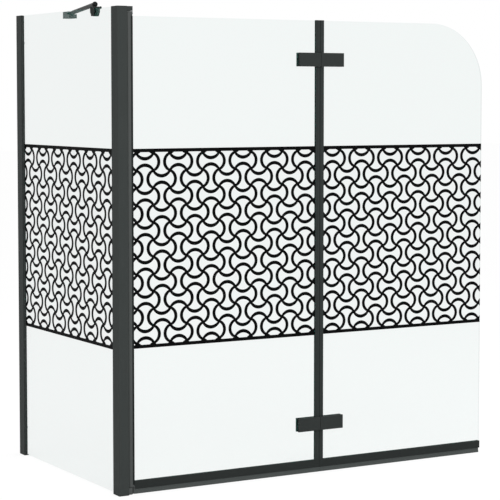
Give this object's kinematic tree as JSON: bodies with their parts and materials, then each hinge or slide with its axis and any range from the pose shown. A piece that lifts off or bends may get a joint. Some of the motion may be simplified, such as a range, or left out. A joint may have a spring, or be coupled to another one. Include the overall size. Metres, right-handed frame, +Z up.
{
  "type": "bath screen",
  "caption": "Folding bath screen: a fixed side pane on a wall profile and corner post, a swinging glass leaf, a second leaf folding on it, and a stay bar.",
  "frame": {"origin": "middle of the screen's footprint, on the bath's rim", "axes": "+X along the front from the corner post to the free edge, +Y from the front to the wall, +Z up"},
  "size_m": [1.2, 0.68, 1.3185],
  "materials": {
    "glass": "gloss",
    "coated_metal": "satin",
    "seal": "matte",
    "wiper": "matte",
    "moulding": "matte",
    "steel": "brushed"
  },
  "bodies": {
    "root": {"bottom_pivot_arm": "coated_metal", "bottom_pivot_pin": "steel", "channel_gaskets": "seal", "channel_lock_screws": "steel", "corner_post": "coated_metal", "glass_channel": "coated_metal", "pivot_arm_screws": "steel", "post_bottom_cap": "moulding", "post_gaskets": "seal", "post_seal": "seal", "post_top_cap": "moulding", "side_glass": "glass", "stay_bar": "coated_metal", "stay_bracket_pin": "steel", "stay_clamp": "coated_metal", "stay_clamp_grub_screw": "steel", "stay_clamp_pads": "seal", "stay_lock_screw": "coated_metal", "stay_swivel_stud": "steel", "stay_wall_bracket": "coated_metal", "thrust_washer": "moulding", "top_pivot_arm": "coated_metal", "top_pivot_pin": "steel", "wall_profile": "coated_metal", "wall_profile_bottom_cap": "moulding", "wall_profile_top_cap": "moulding"},
    "leaf_1": {"bottom_pivot_plug": "moulding", "leaf_1_bottom_rail": "coated_metal", "leaf_1_centre_seal": "seal", "leaf_1_floor_wiper": "wiper", "leaf_1_glass": "glass", "leaf_1_hinge_pads": "seal", "leaf_1_hinge_screws": "steel", "leaf_1_hinge_sleeves": "moulding", "lower_hinge_inner_plate_1": "coated_metal", "lower_hinge_outer_plate_1": "coated_metal", "lower_hinge_pin": "steel", "lower_hinge_washers": "moulding", "swing_gaskets": "seal", "swing_profile": "coated_metal", "top_pivot_plug": "moulding", "upper_hinge_inner_plate_1": "coated_metal", "upper_hinge_outer_plate_1": "coated_metal", "upper_hinge_pin": "steel", "upper_hinge_washers": "moulding"},
    "leaf_2": {"leaf_2_bottom_rail": "coated_metal", "leaf_2_centre_seal": "seal", "leaf_2_floor_wiper": "wiper", "leaf_2_glass": "glass", "leaf_2_hinge_pads": "seal", "leaf_2_hinge_screws": "steel", "leaf_2_hinge_sleeves": "moulding", "lower_hinge_inner_plate_2": "coated_metal", "lower_hinge_outer_plate_2": "coated_metal", "upper_hinge_inner_plate_2": "coated_metal", "upper_hinge_outer_plate_2": "coated_metal"}
  },
  "joints": [
    {"name": "leaf_swing", "type": "hinge", "parent": "root", "child": "leaf_1", "pos_m": [-0.562, -0.3255, 0.65], "axis": [0, 0, -1], "range_deg": [-75, 90]},
    {"name": "leaf_fold", "type": "hinge", "parent": "leaf_1", "child": "leaf_2", "pos_m": [0.034, -0.3153, 0.65], "axis": [0, 0, 1], "range_deg": [0, 180]}
  ]
}
